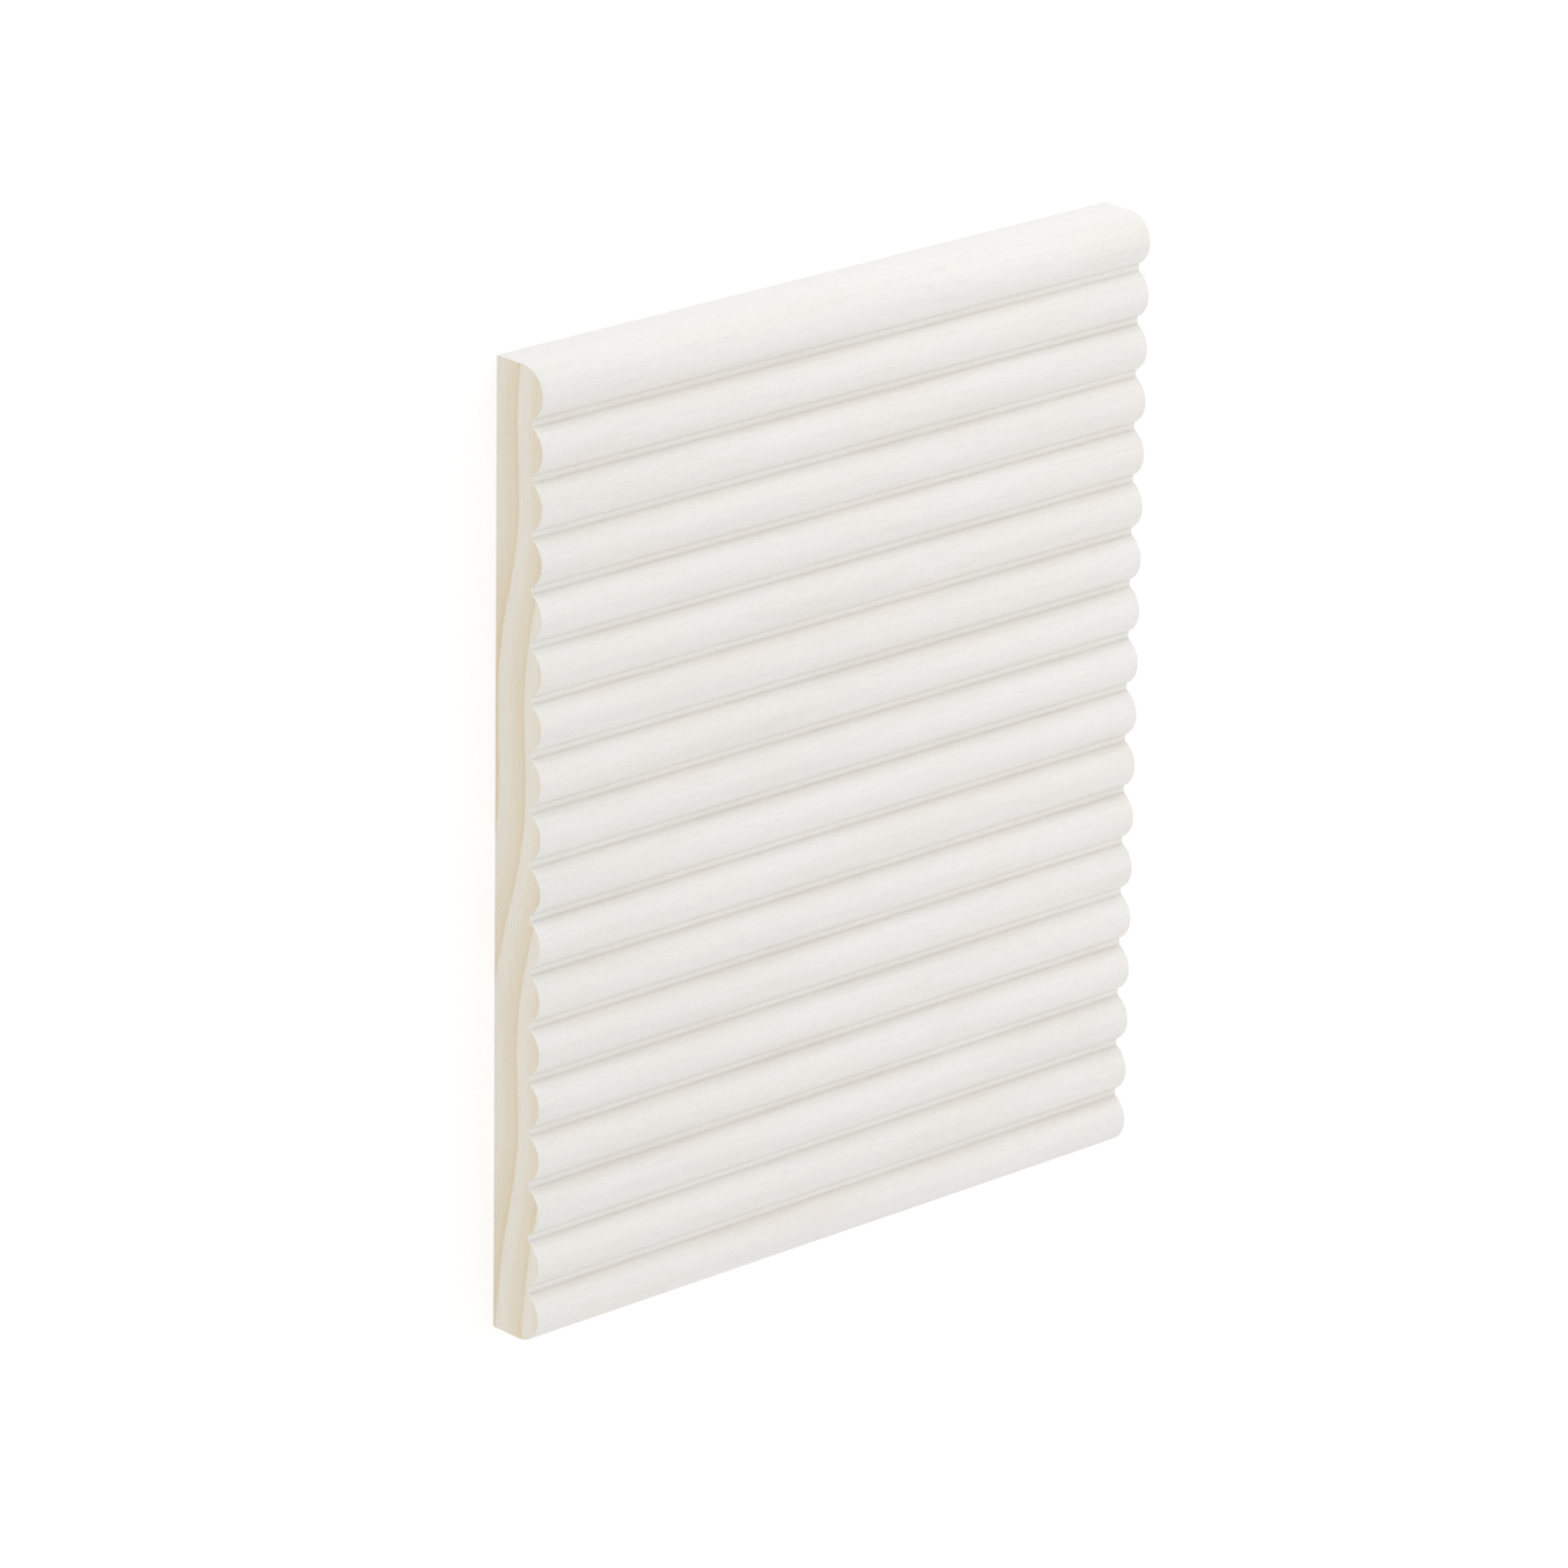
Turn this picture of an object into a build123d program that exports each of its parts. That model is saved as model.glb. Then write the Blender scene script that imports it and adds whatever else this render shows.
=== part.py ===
from build123d import *
import os

# A reeded wall batten: one milled board with a row of rounded reeds on its face.
# It lies on its back. X runs along the reeds, Y across them, and Z from the back up to
# the crowns. The origin is the middle of the back face. All sizes are in millimetres.

# Driving dimensions
length = 144.0  # along the reeds, from sawn end to sawn end
thickness = 12.0  # from the back to the crown of a reed
reed_count = 18
reed_pitch = 10.0  # from one crown to the next
reed_depth = 2.7  # from a crown down to the land beside it
land_width = 1.25  # flat strip between two reeds

# Sizes that follow from them
width = reed_count * reed_pitch
reed_width = reed_pitch - land_width
shoulder_radius = reed_pitch / 2  # the outer crowns lie half a pitch in from the edges
edge_height = thickness - shoulder_radius  # straight part of each long edge
half_reed = reed_width / 2
reed_radius = (half_reed**2 + reed_depth**2) / (2 * reed_depth)


def crown_positions():
    """The place of each reed's crown across the batten, from one long edge to the other."""
    first = -width / 2 + reed_pitch / 2
    return [first + number * reed_pitch for number in range(reed_count)]


def on_reed(crown, across):
    """A point of a reed's round, at a distance across from its crown."""
    drop = reed_radius - (reed_radius**2 - across**2) ** 0.5
    return (crown + across, thickness - drop)


def on_shoulder(crown, side):
    """The middle of the quarter round between an outer crown and the long edge beside it."""
    reach = shoulder_radius * 0.5**0.5
    return (crown + side * reach, edge_height + reach)


def section():
    """The batten's section: back, long edges with rounded shoulders, reeds and lands."""
    crowns = crown_positions()
    first, last = crowns[0], crowns[-1]
    near_edge, far_edge = first - shoulder_radius, last + shoulder_radius
    with BuildSketch(Plane.YZ.offset(-length / 2)) as profile:
        with BuildLine():
            # Back and the straight part of both long edges
            Polyline((near_edge, edge_height), (near_edge, 0), (far_edge, 0), (far_edge, edge_height))
            # Outer reeds, each a quarter round up from the edge and then a fall to the land
            ThreePointArc((near_edge, edge_height), on_shoulder(first, -1), (first, thickness))
            ThreePointArc((first, thickness), on_reed(first, half_reed / 2), on_reed(first, half_reed))
            ThreePointArc(on_reed(last, -half_reed), on_reed(last, -half_reed / 2), (last, thickness))
            ThreePointArc((last, thickness), on_shoulder(last, 1), (far_edge, edge_height))
            # Inner reeds, each one round from land to land
            for crown in crowns[1:-1]:
                ThreePointArc(on_reed(crown, -half_reed), (crown, thickness), on_reed(crown, half_reed))
            # Lands between the reeds
            for crown in crowns[:-1]:
                Line(on_reed(crown, half_reed), on_reed(crown + reed_pitch, -half_reed))
        make_face()
    return profile.sketch


def batten():
    """The whole batten: its section drawn out along the reeds, from one end to the other."""
    return extrude(section(), amount=length, dir=(1, 0, 0))


os.makedirs("parts", exist_ok=True)
export_step(batten(), "parts/batten.step")
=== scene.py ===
"""A reeded wall batten of white-glazed timber, lying on its back on a plain white floor."""

import logging
import math
from dataclasses import dataclass, field
from enum import Enum

import bpy
import numpy as np
from mathutils import Matrix, Vector


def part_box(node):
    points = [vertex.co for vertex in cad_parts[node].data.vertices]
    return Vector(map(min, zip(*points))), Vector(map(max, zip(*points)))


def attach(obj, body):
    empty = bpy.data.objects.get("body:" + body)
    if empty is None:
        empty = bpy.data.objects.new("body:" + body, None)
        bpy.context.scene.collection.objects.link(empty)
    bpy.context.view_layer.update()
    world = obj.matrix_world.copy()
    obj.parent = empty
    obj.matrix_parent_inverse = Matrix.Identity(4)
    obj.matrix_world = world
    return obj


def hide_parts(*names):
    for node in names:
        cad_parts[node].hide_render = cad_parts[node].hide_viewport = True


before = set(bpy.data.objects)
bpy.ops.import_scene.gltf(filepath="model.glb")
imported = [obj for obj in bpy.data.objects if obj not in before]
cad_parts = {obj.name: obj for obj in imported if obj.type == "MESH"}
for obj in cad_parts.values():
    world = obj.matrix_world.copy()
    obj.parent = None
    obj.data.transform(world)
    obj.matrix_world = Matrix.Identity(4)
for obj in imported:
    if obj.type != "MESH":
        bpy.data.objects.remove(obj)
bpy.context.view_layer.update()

Colour = tuple[float, float, float]
Place = tuple[float, float, float]
Stops = tuple[tuple[float, float], ...]
Value = bpy.types.NodeSocket | float

MM = 0.001
PHOTO_PIXELS = 1740
SENSOR = 36.0
WHITE: Colour = (1.0, 1.0, 1.0)

# How dark a growth ring is, from its inner side at 0 to its outer line at 1
RING_DARKENING: Stops = (
    (0.0, 0.75),
    (0.05, 0.1),
    (0.12, 0.0),
    (0.38, 0.1),
    (0.6, 0.5),
    (0.86, 0.7),
    (0.955, 1.0),
)

log = logging.getLogger("batten")


class Surface(Enum):
    """The surfaces of the batten, by how the mill leaves them."""

    REEDED_FACE = "reeded face"
    LONG_EDGE = "long edge"
    BACK = "back"
    SAWN_END = "sawn end"

    @property
    def glazed(self) -> bool:
        """Whether the white glaze covers this surface."""
        return self in (Surface.REEDED_FACE, Surface.LONG_EDGE)


def add_object(name: str, data: bpy.types.ID) -> bpy.types.Object:
    """Makes an object and puts it in the scene.

    Args:
        name: The object's name.
        data: Its mesh, lamp or camera.

    Returns:
        The object.
    """
    made = bpy.data.objects.new(name, data)
    bpy.context.scene.collection.objects.link(made)
    return made


@dataclass(frozen=True)
class Milling:
    """The cutter's sizes: how the face is divided into round reeds and flat lands."""

    width: float
    reed_count: int = 18
    reed_depth: float = 2.7 * MM
    land_width: float = 1.25 * MM

    @property
    def pitch(self) -> float:
        """The distance from one crown to the next."""
        return self.width / self.reed_count

    @property
    def shoulder(self) -> float:
        """The radius of the quarter round at each long edge."""
        return self.pitch / 2

    @property
    def half_reed(self) -> float:
        """The distance from a crown to the land beside it."""
        return (self.pitch - self.land_width) / 2

    @property
    def reed_radius(self) -> float:
        """The radius of a reed's round."""
        return (self.half_reed**2 + self.reed_depth**2) / (2 * self.reed_depth)

    @property
    def foot_angle(self) -> float:
        """The turn of a reed's round from its crown to the land, in radians."""
        return math.asin(self.half_reed / self.reed_radius)

    @property
    def outer_crown(self) -> float:
        """The distance from the batten's middle to its outer crowns."""
        return (self.width - self.pitch) / 2


@dataclass(frozen=True)
class StretchedNoise:
    """Smooth random variation whose cells are longer one way than the other."""

    along: float
    across: float
    seed: int
    cells: int = 512

    def at(self, x: np.ndarray, s: np.ndarray) -> np.ndarray:
        """Reads the variation at places on a surface.

        Args:
            x: Distance along the first side of the cells, in metres.
            s: Distance along their other side, in metres.

        Returns:
            One value from 0 to 1 for each place.
        """
        lattice = np.random.default_rng(self.seed).random((self.cells, self.cells))
        u, v = x / self.along + self.seed, s / self.across + self.seed
        column, row = np.floor(u).astype(int), np.floor(v).astype(int)
        a, b = self._ease(u - column), self._ease(v - row)
        low = self._mix(lattice, column, row, a)
        high = self._mix(lattice, column, row + 1, a)
        return low * (1 - b) + high * b

    def _mix(
        self,
        lattice: np.ndarray,
        column: np.ndarray,
        row: np.ndarray,
        share: np.ndarray,
    ) -> np.ndarray:
        """Blends two neighbouring cells of one row.

        Args:
            lattice: The random value of every cell.
            column: The nearer cell's column.
            row: The row of both cells.
            share: How far the place lies towards the further cell, from 0 to 1.

        Returns:
            The blended values.
        """
        near = lattice[column % self.cells, row % self.cells]
        far = lattice[(column + 1) % self.cells, row % self.cells]
        return near * (1 - share) + far * share

    @staticmethod
    def _ease(t: np.ndarray) -> np.ndarray:
        """Rounds a straight blend so that cells join smoothly."""
        return t * t * (3 - 2 * t)


@dataclass(frozen=True)
class RingWave:
    """One slow rise and fall of the growth rings from one long edge to the other."""

    height: float
    width: float
    start: float

    def at(self, y: np.ndarray) -> np.ndarray:
        """Reads how far the rings are lifted at a distance across the reeds."""
        return self.height * np.sin(2 * math.pi * (y - self.start) / self.width)


@dataclass(frozen=True)
class GrowthRings:
    """The log's growth rings where they pass through the batten, slanting up to one edge."""

    near_end: float
    spacing: float = 7.0 * MM
    first_height: float = -2.35 * MM
    slant: float = 0.116
    waves: tuple[RingWave, ...] = (
        RingWave(0.9 * MM, 117 * MM, -21 * MM),
        RingWave(1.5 * MM, 58 * MM, -11 * MM),
    )
    run_out: float = 0.035
    wander: float = 0.9 * MM
    drift: StretchedNoise = StretchedNoise(90 * MM, 26 * MM, 5)
    ripple: StretchedNoise = StretchedNoise(40 * MM, 9 * MM, 11)
    ripple_share: float = 0.35

    def growth(self, x: np.ndarray, y: np.ndarray, z: np.ndarray) -> np.ndarray:
        """Counts rings from the one that meets the back near the middle of the near end.

        Args:
            x: Distance along the reeds, in metres.
            y: Distance across the reeds, in metres.
            z: Height over the back, in metres.

        Returns:
            Rings grown at each place, a whole number at each ring's dark outer line.
        """
        ring = self.first_height + self.slant * y + sum(wave.at(y) for wave in self.waves)
        drift = self.drift.at(x, y) - 0.5
        ripple = self.ripple.at(x, y) - 0.5
        strayed = self.wander * (drift + self.ripple_share * ripple)
        climb = self.run_out * (x - self.near_end) + strayed
        return (z - ring + climb) / self.spacing


@dataclass(frozen=True)
class Flecks:
    """Soft random flecks in a finish: one fleck's size along X, Y and Z, and its finer layers."""

    size: tuple[float, float, float]
    detail: float = 3.0
    rough: float = 0.55


class Shading:
    """The node tree of a material or the sky, with one short call for each kind of step."""

    def __init__(self, name: str, sky: bool = False) -> None:
        """Starts a node tree with only its output.

        Args:
            name: The material's or the sky's name.
            sky: Whether it is the sky's.
        """
        output = "ShaderNodeOutputWorld" if sky else "ShaderNodeOutputMaterial"
        self.holder = (bpy.data.worlds if sky else bpy.data.materials).new(name)
        self.holder.use_nodes = True
        self.tree = self.holder.node_tree
        self.tree.nodes.clear()
        self.output = self.tree.nodes.new(output)
        self.coordinates = self.node("ShaderNodeTexCoord").outputs
        self.place = self.coordinates["Object"]

    def node(self, kind: str, inputs: dict | None = None, **settings: object) -> bpy.types.Node:
        """Adds a node.

        Args:
            kind: Blender's name for the kind of node.
            inputs: A value or another node's output for each input, by name or number.
            **settings: The node's own properties.

        Returns:
            The new node.
        """
        made = self.tree.nodes.new(kind)
        for name, value in settings.items():
            setattr(made, name, value)
        for name, value in (inputs or {}).items():
            if isinstance(value, bpy.types.NodeSocket):
                self.tree.links.new(value, made.inputs[name])
            else:
                made.inputs[name].default_value = value
        return made

    def noise(self, flecks: Flecks) -> bpy.types.NodeSocket:
        """Adds noise whose cells have a size of their own along each axis.

        Args:
            flecks: The cells' size and finer layers.

        Returns:
            The noise's value, around a half.
        """
        scale = Vector([1 / size for size in flecks.size])
        place = self.node("ShaderNodeMapping", {"Vector": self.place, "Scale": scale})
        inputs = {
            "Vector": place.outputs[0],
            "Scale": 1.0,
            "Detail": flecks.detail,
            "Roughness": flecks.rough,
        }
        return self.node("ShaderNodeTexNoise", inputs).outputs["Fac"]

    def ramp(self, value: bpy.types.NodeSocket, stops: Stops) -> bpy.types.NodeSocket:
        """Turns one value into another along straight stretches.

        Args:
            value: The value to read.
            stops: Pairs of a place from 0 to 1 and the value there.

        Returns:
            The new value.
        """
        made = self.node("ShaderNodeValToRGB", {"Fac": value})
        elements = made.color_ramp.elements
        while len(elements) < len(stops):
            elements.new(0.5)
        for element, (position, level) in zip(elements, stops):
            element.position = position
            element.color = (level, level, level, 1.0)
        return made.outputs["Color"]

    def math(self, operation: str, first: Value, second: Value = 0.0, third: Value = 0.0) -> Value:
        """Adds a step of arithmetic, by Blender's name for it, on up to three values."""
        inputs = {0: first, 1: second, 2: third}
        return self.node("ShaderNodeMath", inputs, operation=operation).outputs[0]

    def between(self, share: Value, first: Value, second: Value) -> Value:
        """Goes from a first value to a second one by a share."""
        return self.math("MULTIPLY_ADD", self.math("SUBTRACT", second, first), share, first)

    def around_one(self, value: Value, swing: float) -> Value:
        """Turns a value around a half into a factor around 1."""
        return self.math("MULTIPLY_ADD", value, swing, 1 - swing / 2)

    def blend(
        self,
        factor: Value,
        first: Value | Colour,
        second: Value | Colour,
        kind: str = "MIX",
    ) -> bpy.types.NodeSocket:
        """Mixes two colours.

        Args:
            factor: How much of the second colour shows.
            first: The colour below.
            second: The colour above.
            kind: How they mix.

        Returns:
            The mixed colour.
        """
        inputs = {0: factor}
        for place, colour in ((6, first), (7, second)):
            linked = isinstance(colour, bpy.types.NodeSocket)
            inputs[place] = colour if linked else (*colour, 1.0)
        return self.node("ShaderNodeMix", inputs, data_type="RGBA", blend_type=kind).outputs[2]

    def corner_shade_mask(self, milling: Milling, reach: float) -> bpy.types.NodeSocket:
        """Finds the corners where each reed meets the lands beside it, where shade is painted.

        Args:
            milling: The sizes of the reeds and lands.
            reach: How far each corner's painted shade spreads to either side, in metres.

        Returns:
            1 at a corner, falling to 0 at the reach, and 0 beyond the outer crowns.
        """
        across = self.node("ShaderNodeSeparateXYZ", {"Vector": self.place}).outputs["Y"]
        phase = self.math("FRACT", self.math("DIVIDE", across, milling.pitch))
        from_crown = self.math("ABSOLUTE", self.math("SUBTRACT", phase, 0.5))
        beyond_corner = self.math("SUBTRACT", from_crown, milling.half_reed / milling.pitch)
        from_corner = self.math("ABSOLUTE", beyond_corner)
        near = self.math("SUBTRACT", 1.0, self.math("DIVIDE", from_corner, reach / milling.pitch))
        inside = self.math("LESS_THAN", self.math("ABSOLUTE", across), milling.outer_crown)
        return self.math("MULTIPLY", self.math("MAXIMUM", near, 0.0), inside)

    def facing(self, axis: str) -> bpy.types.NodeSocket:
        """Reads how squarely the surface faces along an axis, either way, from 0 to 1."""
        normal = self.node("ShaderNodeSeparateXYZ", {"Vector": self.coordinates["Normal"]})
        return self.math("ABSOLUTE", normal.outputs[axis])

    def seen(self) -> bpy.types.NodeSocket:
        """Tells the rays that show the background, directly, in gloss or through glass.

        Returns:
            1 for such a ray and 0 for any other.
        """
        path = self.node("ShaderNodeLightPath").outputs
        direct = self.math("MAXIMUM", path["Is Camera Ray"], path["Is Glossy Ray"])
        return self.math("MAXIMUM", direct, path["Is Transmission Ray"])

    def grown(self) -> bpy.types.NodeSocket:
        """Reads how dark the growth ring is at each place, from 0 to 1."""
        growth = self.node("ShaderNodeAttribute", attribute_name="growth").outputs["Fac"]
        return self.ramp(self.math("FRACT", growth), RING_DARKENING)

    def show(self, shader: bpy.types.Node) -> None:
        """Joins the last shader to the output."""
        self.tree.links.new(shader.outputs[0], self.output.inputs[0])

    def finish(
        self,
        colour: Value,
        roughness: Value,
        height: Value,
        depth: float,
        specular: float,
    ) -> None:
        """Adds the surface shader and joins it to the output.

        Args:
            colour: The surface's colour.
            roughness: How matt it is.
            height: The fine relief, from 0 to 1.
            depth: How deep the fine relief is, in metres.
            specular: How strong its reflections are.
        """
        bump = {"Height": height, "Distance": depth, "Strength": 1.0}
        relief = self.node("ShaderNodeBump", bump).outputs[0]
        inputs = {
            "Base Color": colour,
            "Roughness": roughness,
            "Specular IOR Level": specular,
            "Normal": relief,
        }
        self.show(self.node("ShaderNodeBsdfPrincipled", inputs))


@dataclass(frozen=True)
class BareTimber:
    """Pale softwood as the saw and the planer leave it."""

    early_wood: Colour = (0.845, 0.80, 0.715)
    late_wood: Colour = (0.765, 0.66, 0.485)
    dull_wood: Colour = (0.82, 0.77, 0.68)
    planed_fibres: Flecks = Flecks((11.0 * MM, 0.4 * MM, 0.4 * MM))
    sawn_fibres: Flecks = Flecks((1.6 * MM, 11.0 * MM, 0.4 * MM))
    pores: Flecks = Flecks((0.5 * MM, 0.5 * MM, 0.35 * MM), 2.0, 0.7)
    clouds: Flecks = Flecks((30 * MM, 38 * MM, 5 * MM), 2.0)
    dulling: Stops = ((0.35, 0.0), (0.7, 0.3))
    fibre_swing: float = 0.16
    pore_swing: float = 0.24
    roughness: float = 0.7
    roughness_swing: float = 0.1
    relief_depth: float = 0.03 * MM
    specular: float = 0.25

    def material(self) -> bpy.types.Material:
        """Makes the material for the sawn ends and the back.

        Returns:
            The material.
        """
        shading = Shading("bare_timber")
        planed = shading.noise(self.planed_fibres)
        sawn = shading.noise(self.sawn_fibres)
        fibres = shading.between(shading.facing("X"), planed, sawn)
        pores = shading.noise(self.pores)
        rings = shading.blend(shading.grown(), self.early_wood, self.late_wood)
        dulled = shading.ramp(shading.noise(self.clouds), self.dulling)
        wood = shading.blend(dulled, rings, self.dull_wood)
        streaks = shading.around_one(fibres, self.fibre_swing)
        grains = shading.around_one(pores, self.pore_swing)
        colour = shading.blend(1.0, wood, shading.math("MULTIPLY", streaks, grains), "MULTIPLY")
        roughness = shading.math("MULTIPLY_ADD", fibres, self.roughness_swing, self.roughness)
        relief = shading.math("ADD", fibres, pores)
        shading.finish(colour, roughness, relief, self.relief_depth, self.specular)
        return shading.holder


@dataclass(frozen=True)
class WhiteGlaze:
    """A thin white glaze through which the timber's grain still shows a little."""

    cool: Colour = (0.904, 0.898, 0.866)
    warm: Colour = (0.918, 0.888, 0.851)
    # Painted highlight: a whiter, less warm tint laid on surfaces facing across the reeds, mostly
    # both long edges
    painted_highlight_tint: Colour = (0.904, 0.900, 0.886)
    grain: Colour = (0.66, 0.60, 0.53)
    # Painted shade: the darker colour laid into the corners beside the reeds
    painted_corner_shade: Colour = (0.70, 0.67, 0.61)
    fibres: Flecks = Flecks((7.0 * MM, 0.36 * MM, 0.36 * MM), 4.0, 0.65)
    pores: Flecks = Flecks((2.4 * MM, 0.5 * MM, 0.5 * MM), 3.0, 0.7)
    specks: Flecks = Flecks((0.6 * MM, 0.45 * MM, 0.45 * MM), 2.0, 0.7)
    patches: Flecks = Flecks((26 * MM, 5 * MM, 5 * MM), 2.5)
    streaks: Flecks = Flecks((45 * MM, 4.5 * MM, 4.5 * MM))
    strokes: Flecks = Flecks((260 * MM, 8 * MM, 8 * MM), 1.5)
    corner_shade_flecks: Flecks = Flecks((9 * MM, 1.6 * MM, 1.6 * MM), 2.0)
    patch_share: float = 0.55
    pore_share: float = 0.27
    stroke_share: float = 0.18
    tinting: Stops = ((0.43, 0.0), (0.57, 1.0))
    # Where the painted highlight whitening lies, by how squarely a surface faces across the reeds
    painted_highlight_stops: Stops = ((0.87, 0.0), (0.99, 0.65))
    ring_wear: float = 0.05
    fibre_wear: Stops = ((0.5, 0.0), (0.72, 0.15))
    streak_wear: Stops = ((0.42, 0.0), (0.7, 0.11))
    # How far the painted corner shade reaches, its least strength and how much it varies
    corner_shade_reach: float = 0.38 * MM
    corner_shade_least: float = 0.20
    corner_shade_swing: float = 0.45
    speck_swing: float = 0.10
    pore_swing: float = 0.08
    roughness: float = 0.48
    roughness_swing: float = 0.16
    relief_depth: float = 0.02 * MM
    specular: float = 0.35

    def material(self, milling: Milling) -> bpy.types.Material:
        """Makes the material for the reeded face and the long edges.

        Args:
            milling: The sizes of the reeds and lands.

        Returns:
            The material.
        """
        shading = Shading("white_glaze")
        fibres, pores = shading.noise(self.fibres), shading.noise(self.pores)
        # Painted highlight: surfaces facing across the reeds, mostly the long edges, take a whiter
        # tint
        painted_highlight_share = shading.ramp(shading.facing("Y"), self.painted_highlight_stops)
        coat = shading.blend(painted_highlight_share, self._tinted(shading, pores), self.painted_highlight_tint)
        worn = shading.blend(self._wear(shading, fibres, painted_highlight_share), coat, self.grain)
        # Painted shade darkens the corners where the reeds meet the lands
        corner_shaded = shading.blend(self._corner_shade_share(shading, milling), worn, self.painted_corner_shade)
        grit = shading.around_one(shading.noise(self.specks), self.speck_swing)
        shade = shading.math("MULTIPLY", grit, shading.around_one(pores, self.pore_swing))
        colour = shading.blend(1.0, corner_shaded, shade, "MULTIPLY")
        roughness = shading.math("MULTIPLY_ADD", fibres, self.roughness_swing, self.roughness)
        shading.finish(colour, roughness, fibres, self.relief_depth, self.specular)
        return shading.holder

    def _tinted(self, shading: Shading, pores: Value) -> Value:
        """Lets the glaze drift between its cool and its warm tint.

        Args:
            shading: The material's steps.
            pores: The noise of the timber's pores.

        Returns:
            The glaze's colour.
        """
        mottle = shading.math("MULTIPLY", shading.noise(self.patches), self.patch_share)
        mottle = shading.math("MULTIPLY_ADD", pores, self.pore_share, mottle)
        strokes = shading.noise(self.strokes)
        mottle = shading.math("MULTIPLY_ADD", strokes, self.stroke_share, mottle)
        return shading.blend(shading.ramp(mottle, self.tinting), self.cool, self.warm)

    def _wear(self, shading: Shading, fibres: Value, painted_highlight_share: Value) -> Value:
        """Finds how far the grain shows through: at dark rings, fibres and broad streaks.

        Args:
            shading: The material's steps.
            fibres: The noise of the timber's fibres.
            painted_highlight_share: How much painted highlight whitening lies there, which also
                hides the grain.

        Returns:
            How much of the grain's colour shows.
        """
        rings = shading.math("MULTIPLY", shading.grown(), self.ring_wear)
        worn = shading.math("ADD", rings, shading.ramp(fibres, self.fibre_wear))
        streaks = shading.ramp(shading.noise(self.streaks), self.streak_wear)
        worn = shading.math("ADD", worn, streaks)
        return shading.math("MULTIPLY", worn, shading.math("SUBTRACT", 1.0, painted_highlight_share))

    def _corner_shade_share(self, shading: Shading, milling: Milling) -> Value:
        """Finds how much painted shade darkens the corners beside the reeds, at a strength that
        varies at random.

        Args:
            shading: The material's steps.
            milling: The sizes of the reeds and lands.

        Returns:
            How much of the painted corner shade colour shows.
        """
        corner_shade_flecks = shading.noise(self.corner_shade_flecks)
        corner_shade_strength = shading.math("MULTIPLY_ADD", corner_shade_flecks, self.corner_shade_swing, self.corner_shade_least)
        return shading.math("MULTIPLY", shading.corner_shade_mask(milling, self.corner_shade_reach), corner_shade_strength)


class Skin:
    """The points of a grid of stations, columns and rows that lie on the batten's surface.

    For each point, tip and side are -1 at the first end or edge and 1 at the other, girth is its
    distance round the face, and out_y and out_z are the way out of the face there.
    """

    def __init__(self, stations: np.ndarray, face: np.ndarray, rows: np.ndarray) -> None:
        """Numbers and places the points and notes which surfaces they are on.

        Args:
            stations: Distances along the reeds.
            face: The section's face, as distances across and heights.
            rows: Heights as shares of the face's height there.
        """
        shape = (len(stations), len(face), len(rows))
        outside = np.ones(shape, bool)
        outside[1:-1, 1:-1, 1:-1] = False
        self.number = np.full(shape, -1)
        self.number[outside] = np.arange(outside.sum())
        station, column, row = np.nonzero(outside)
        self.x, self.y = stations[station], face[column, 0]
        self.z = face[column, 1] * rows[row]
        self.on_end = (station == 0) | (station == shape[0] - 1)
        self.on_edge = (column == 0) | (column == shape[1] - 1)
        self.on_back, self.on_face = row == 0, row == shape[2] - 1
        self.tip = np.where(station == 0, -1.0, 1.0)
        self.side = np.where(column == 0, -1.0, 1.0)
        steps = np.linalg.norm(np.diff(face, axis=0), axis=1)
        self.girth = np.concatenate([[0], np.cumsum(steps)])[column]
        along = np.gradient(face, axis=0)
        along /= np.linalg.norm(along, axis=1)[:, None]
        self.out_y, self.out_z = -along[column, 1], along[column, 0]

    def quads(self) -> tuple[np.ndarray, np.ndarray]:
        """Lists the four-sided faces between the points, all facing outwards.

        Returns:
            The faces' points, and whether the glaze covers each.
        """
        patches = (
            (self.number[:, :, -1], False, Surface.REEDED_FACE),
            (self.number[:, :, 0], True, Surface.BACK),
            (self.number[:, 0, :], False, Surface.LONG_EDGE),
            (self.number[:, -1, :], True, Surface.LONG_EDGE),
            (self.number[0, :, :], True, Surface.SAWN_END),
            (self.number[-1, :, :], False, Surface.SAWN_END),
        )
        quads, glazed = [], []
        for patch, flipped, surface in patches:
            ring = [patch[:-1, :-1], patch[1:, :-1], patch[1:, 1:], patch[:-1, 1:]]
            if flipped:
                ring.reverse()
            quads.append(np.stack([corner.ravel() for corner in ring], axis=1))
            glazed.append(np.full(ring[0].size, surface.glazed))
        return np.vstack(quads), np.concatenate(glazed)


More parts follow.
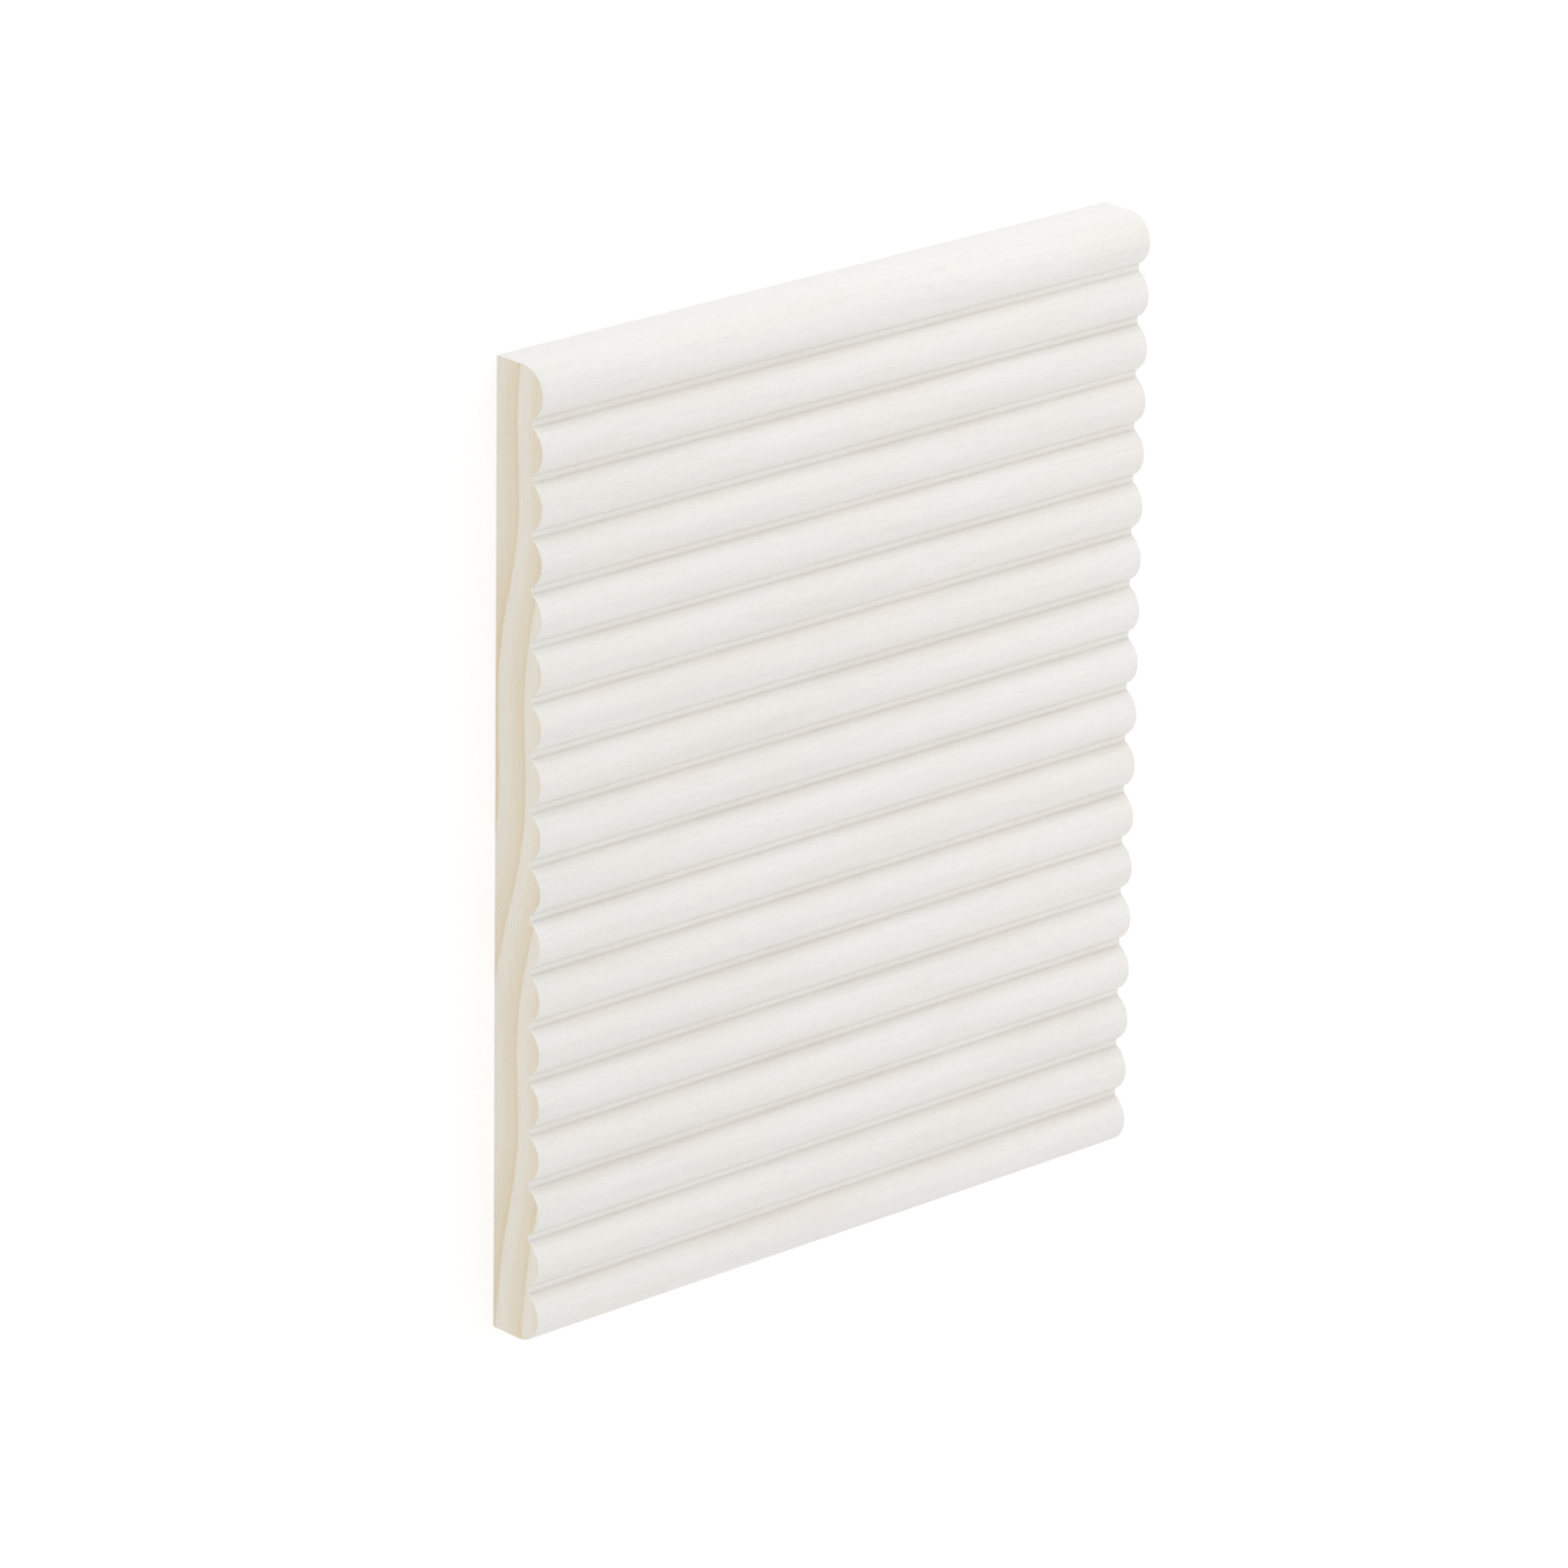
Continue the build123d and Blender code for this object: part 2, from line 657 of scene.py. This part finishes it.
@dataclass
class ReededBatten:
    """One milled board: reeds and lands on its face, rounded shoulders and a flat back."""

    low: Vector
    high: Vector
    arris: float = 0.35 * MM
    end_arris: float = 0.15 * MM
    reed_steps: int = 9
    shoulder_steps: int = 12
    land_steps: int = 3
    stations: int = 96
    rows: int = 13
    arris_split: int = 3
    sharp_angle: float = 28.0
    fibre_relief: float = 0.035 * MM
    long_fibres: StretchedNoise = StretchedNoise(16 * MM, 1.4 * MM, 3)
    long_share: float = 0.45
    short_fibres: StretchedNoise = StretchedNoise(7 * MM, 0.9 * MM, 7)
    short_share: float = 0.35
    ring_share: float = 0.2
    edge_shift: float = 0.2
    saw_relief: float = 0.05 * MM
    saw_marks: StretchedNoise = StretchedNoise(1.2 * MM, 14 * MM, 23)
    saw_share: float = 0.3
    thickness: float = field(init=False)
    milling: Milling = field(init=False)
    rings: GrowthRings = field(init=False)

    def __post_init__(self) -> None:
        """Works out what follows from the box."""
        _, width, self.thickness = self.high - self.low
        self.milling = Milling(width)
        self.rings = GrowthRings(self.low.x)

    def crowns(self) -> np.ndarray:
        """Places the crown of each reed across the batten."""
        return self.low.y + self.milling.pitch * (np.arange(self.milling.reed_count) + 0.5)

    def flank(self, crown: float, side: int, outer: bool) -> np.ndarray:
        """Draws half of one reed.

        Args:
            crown: The crown's place across the batten.
            side: 1 for the half towards +Y and -1 for the other.
            outer: Whether this half is the quarter round at a long edge.

        Returns:
            Points from the crown outwards, as distances across and heights.
        """
        radius = self.milling.shoulder if outer else self.milling.reed_radius
        reach = math.pi / 2 if outer else self.milling.foot_angle
        turn = np.linspace(0, reach, 1 + (self.shoulder_steps if outer else self.reed_steps))
        across = crown + side * radius * np.sin(turn)
        height = self.thickness - radius + radius * np.cos(turn)
        return np.column_stack([across, height])

    def face_line(self) -> np.ndarray:
        """Draws the face from one long edge to the other.

        Returns:
            Points along the section's face, as distances across and heights.
        """
        points = []
        last = self.milling.reed_count - 1
        for number, crown in enumerate(self.crowns()):
            rising = self.flank(crown, -1, number == 0)[::-1]
            falling = self.flank(crown, 1, number == last)
            points += [rising, falling[1:]]
            if number < last:
                across, height = falling[-1]
                steps = np.arange(1, self.land_steps) / self.land_steps * self.milling.land_width
                points.append(np.column_stack([across + steps, np.full(len(steps), height)]))
        return np.vstack(points)

    def station_line(self) -> np.ndarray:
        """Places the stations along the reeds, closer together at the sawn ends.

        Returns:
            Distances along the reeds.
        """
        first, last = self.low.x + self.end_arris, self.high.x - self.end_arris
        inner = np.linspace(first, last, self.stations)
        return np.concatenate([[self.low.x], inner, [self.high.x]])

    def row_line(self) -> np.ndarray:
        """Places the rows from back to face as shares of the height, closer at the arris."""
        step = self.arris / (self.thickness - self.milling.shoulder)
        return np.concatenate([[0, step / self.arris_split], np.linspace(step, 1, self.rows)])

    def mesh(self) -> bpy.types.Mesh:
        """Builds the batten's closed skin.

        Returns:
            The mesh, with its growth rings stored at each point and a finish on each surface.
        """
        skin = Skin(self.station_line(), self.face_line(), self.row_line())
        self._press_relief(skin)
        self._ease_ends(skin)
        self._ease_back(skin)
        quads, glazed = skin.quads()
        growth = self.rings.growth(skin.x, skin.y, skin.z)
        mesh = bpy.data.meshes.new("batten")
        mesh.from_pydata(np.column_stack([skin.x, skin.y, skin.z]).tolist(), [], quads.tolist())
        mesh.polygons.foreach_set("material_index", np.where(glazed, 0, 1).astype(np.int32))
        mesh.attributes.new("growth", "FLOAT", "POINT").data.foreach_set("value", growth)
        mesh.shade_smooth()
        mesh.set_sharp_from_angle(angle=math.radians(self.sharp_angle))
        mesh.update()
        return mesh

    def _early_wood(self, x: np.ndarray, y: np.ndarray, z: np.ndarray) -> np.ndarray:
        """Finds how soft the wood is, from 1 inside a ring to 0 at its dark outer line."""
        return 1 - (self.rings.growth(x, y, z) % 1.0) ** 2

    def _fibre_depth(
        self,
        x: np.ndarray,
        y: np.ndarray,
        z: np.ndarray,
        girth: np.ndarray,
    ) -> np.ndarray:
        """Finds how far fibres and soft rings lie below the planed surface.

        Args:
            x: Distance along the reeds.
            y: Distance across the reeds, or the height again on a long edge.
            z: Height over the back.
            girth: Distance across the fibres, over the reeds and lands.

        Returns:
            Depths in metres, never negative.
        """
        long_fibres = self.long_share * self.long_fibres.at(x, girth)
        short_fibres = self.short_share * self.short_fibres.at(x, girth)
        soft = self.ring_share * self._early_wood(x, y, z)
        return self.fibre_relief * (long_fibres + short_fibres + soft)

    def _saw_depth(self, x: np.ndarray, y: np.ndarray, z: np.ndarray) -> np.ndarray:
        """Finds how far saw marks and soft rings lie below a sawn end, in metres."""
        soft = (1 - self.saw_share) * self._early_wood(x, y, z)
        return self.saw_relief * (soft + self.saw_share * self.saw_marks.at(y, z))

    def _press_relief(self, skin: Skin) -> None:
        """Presses the timber's relief into the face, the long edges, the back and the ends.

        Args:
            skin: The points, which are moved.
        """
        depth = self._fibre_depth(skin.x, skin.y, skin.z, skin.girth)
        skin.y -= np.where(skin.on_face, skin.out_y * depth, 0)
        skin.z -= np.where(skin.on_face, skin.out_z * depth, 0)
        # The shift gives each long edge fibres of its own
        depth = self._fibre_depth(skin.x, skin.z, skin.z, skin.z + skin.side * self.edge_shift)
        skin.y -= np.where(skin.on_edge & ~skin.on_face, skin.side * depth, 0)
        depth = self._fibre_depth(skin.x, skin.y, skin.z, skin.y)
        skin.z += np.where(skin.on_back, depth, 0)
        depth = self._saw_depth(skin.x, skin.y, skin.z)
        skin.x -= np.where(skin.on_end, skin.tip * depth, 0)

    def _ease_ends(self, skin: Skin) -> None:
        """Softens the corners round each sawn end.

        Args:
            skin: The points, which are moved.
        """
        rim = skin.on_end & (skin.on_face | skin.on_back | skin.on_edge)
        pull = self.end_arris * (1 - math.sqrt(0.5))
        skin.x -= np.where(rim, skin.tip * pull, 0)
        skin.y -= np.where(rim & skin.on_face, skin.out_y * pull, 0)
        skin.z -= np.where(rim & skin.on_face, skin.out_z * pull, 0)

    def _ease_back(self, skin: Skin) -> None:
        """Rounds the square corners between the back and the long edges.

        Args:
            skin: The points, which are moved.
        """
        to_edge = np.minimum(skin.y - self.low.y, self.high.y - skin.y)
        sunk, moved = self._round_corner(to_edge)
        skin.z += np.where(skin.on_back, sunk, 0)
        near_edge = skin.on_back & (to_edge < self.arris)
        skin.y -= np.where(near_edge, np.sign(skin.y) * moved, 0)
        upright = skin.on_edge & ~skin.on_back & ~skin.on_face
        sunk, moved = self._round_corner(skin.z)
        skin.y -= np.where(upright, skin.side * sunk, 0)
        skin.z += np.where(upright & (skin.z < self.arris), moved, 0)

    def _round_corner(self, distance: np.ndarray) -> tuple[np.ndarray, np.ndarray]:
        """Rounds a square corner between two flat surfaces.

        Args:
            distance: How far each place lies from the corner along its surface.

        Returns:
            How far the place sinks into the timber, and how far it moves away from the corner.
        """
        share = np.clip(distance / self.arris, 0, 1)
        turn = math.pi / 4 * (1 - share)
        sunk = self.arris * (1 - np.cos(turn))
        moved = self.arris * (1 - np.sin(turn)) - share * self.arris
        return sunk, moved

    def build(self) -> bpy.types.Object:
        """Makes the batten, dresses it and lets it stand for the milled solid.

        Returns:
            The batten's object.
        """
        mesh = self.mesh()
        mesh.materials.append(WhiteGlaze().material(self.milling))
        mesh.materials.append(BareTimber().material())
        piece = add_object("reeded_batten", mesh)
        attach(piece, "root")
        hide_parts("batten")
        return piece


@dataclass(frozen=True)
class SoftLamp:
    """A distant lamp that lights everything from one side, with soft shadows."""

    name: str
    towards: Place
    energy: float
    spread: float

    def hang(self) -> bpy.types.Object:
        """Adds the lamp.

        Returns:
            The lamp's object.
        """
        lamp = bpy.data.lights.new(self.name, "SUN")
        lamp.energy = self.energy
        lamp.angle = math.radians(self.spread)
        hung = add_object(self.name, lamp)
        hung.rotation_euler = Vector(self.towards).to_track_quat("Z", "Y").to_euler()
        return hung


@dataclass(frozen=True)
class NearLamp:
    """A broad lamp close to the batten, whose light fades across it."""

    name: str
    place: Place
    aim: Place
    power: float
    broad: float = 0.30
    high: float = 0.12

    def hang(self) -> bpy.types.Object:
        """Adds the lamp, which no camera sees.

        Returns:
            The lamp's object.
        """
        lamp = bpy.data.lights.new(self.name, "AREA")
        lamp.shape = "RECTANGLE"
        lamp.size, lamp.size_y = self.broad, self.high
        lamp.energy = self.power
        hung = add_object(self.name, lamp)
        hung.location = self.place
        back = Vector(self.place) - Vector(self.aim)
        hung.rotation_euler = back.to_track_quat("Z", "Y").to_euler()
        hung.visible_camera = False
        return hung


@dataclass(frozen=True)
class Studio:
    """A white floor under an even sky, with soft lamps beyond an edge and an end and overhead."""

    floor_half: float = 3.0
    floor_drop: float = 0.05 * MM
    floor_colour: float = 0.95
    floor_white: float = 1.2
    shadow_share: float = 0.5
    sky: float = 0.834
    lamps: tuple[SoftLamp | NearLamp, ...] = (
        SoftLamp("edge_lamp", (-0.15, 0.97, 0.12), 0.215, 25.0),
        SoftLamp("end_lamp", (-0.97, 0.1, 0.2), 0.21, 40.0),
        NearLamp("near_lamp", (0.08, 0.33, 0.13), (0.0, 0.02, 0.0), 0.087),
        NearLamp("over_lamp", (0.17, 0.0, 0.22), (0.03, 0.0, 0.0), 0.034),
    )

    def floor(self) -> bpy.types.Object:
        """Lays the floor just under the batten's back.

        Returns:
            The floor's object.
        """
        half = self.floor_half
        corners = [(-half, -half), (half, -half), (half, half), (-half, half)]
        mesh = bpy.data.meshes.new("floor")
        mesh.from_pydata([(x, y, -self.floor_drop) for x, y in corners], [], [(0, 1, 2, 3)])
        mesh.materials.append(self._floor_material())
        ground = add_object("floor", mesh)
        return ground

    def _floor_material(self) -> bpy.types.Material:
        """Makes a white floor that still takes the batten's shadow.

        Returns:
            The material.
        """
        shading = Shading("white_floor")
        seen = shading.seen()
        colour = shading.blend(seen, (self.floor_colour,) * 3, (self.floor_white,) * 3)
        lit = shading.node("ShaderNodeBsdfDiffuse", {"Color": colour}).outputs[0]
        glow = shading.node("ShaderNodeEmission", {"Strength": 1.0}).outputs[0]
        share = shading.math("MULTIPLY", seen, 1 - self.shadow_share)
        shading.show(shading.node("ShaderNodeMixShader", {0: share, 1: lit, 2: glow}))
        return shading.holder

    def light(self) -> None:
        """Sets the sky, which shows as plain white, and hangs the lamps."""
        shading = Shading("sky", sky=True)
        strength = shading.math("MAXIMUM", self.sky, shading.seen())
        glow = {"Color": (*WHITE, 1.0), "Strength": strength}
        shading.show(shading.node("ShaderNodeBackground", glow))
        bpy.context.scene.world = shading.holder
        for lamp in self.lamps:
            log.info("%s hung", lamp.hang().name)


@dataclass(frozen=True)
class ProductCamera:
    """The camera that sees the batten as the photograph does, looking down on its face."""

    turn: float = 42.5
    rise: float = 20.17
    roll: float = -0.88
    distance: float = 1590.0 * MM
    aim: Place = (-15.25 * MM, 2.25 * MM, 12.0 * MM)
    focal_pixels: float = 10000.0
    nearest: float = 50.0 * MM
    furthest: float = 20.0

    def build(self) -> bpy.types.Object:
        """Places the camera and makes it the scene's own.

        Returns:
            The camera's object.
        """
        turn, rise, roll = (math.radians(angle) for angle in (self.turn, self.rise, self.roll))
        level = math.cos(rise)
        back = Vector((-math.sin(turn) * level, math.sin(rise), math.cos(turn) * level))
        right = (-back).cross(Vector((0, 1, 0))).normalized()
        upright = Matrix((right, back.cross(right), back)).transposed()
        turned = upright @ Matrix.Rotation(-roll, 3, "Z")
        data = bpy.data.cameras.new("camera")
        data.sensor_width = SENSOR
        data.lens = self.focal_pixels / PHOTO_PIXELS * SENSOR
        data.clip_start, data.clip_end = self.nearest, self.furthest
        camera = add_object("camera", data)
        place = Vector(self.aim) + back * self.distance
        camera.matrix_world = Matrix.Translation(place) @ turned.to_4x4()
        bpy.context.scene.camera = camera
        return camera


def main() -> None:
    """Builds the batten, the studio and the camera in order."""
    logging.basicConfig(level=logging.INFO, format="%(message)s")
    bpy.context.scene.view_settings.view_transform = "Standard"
    low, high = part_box("batten")
    batten = ReededBatten(low, high).build()
    log.info("%s: %d faces", batten.name, len(batten.data.polygons))
    studio = Studio()
    log.info("%s laid", studio.floor().name)
    studio.light()
    log.info("%s placed", ProductCamera().build().name)


if __name__ == "__main__":
    main()
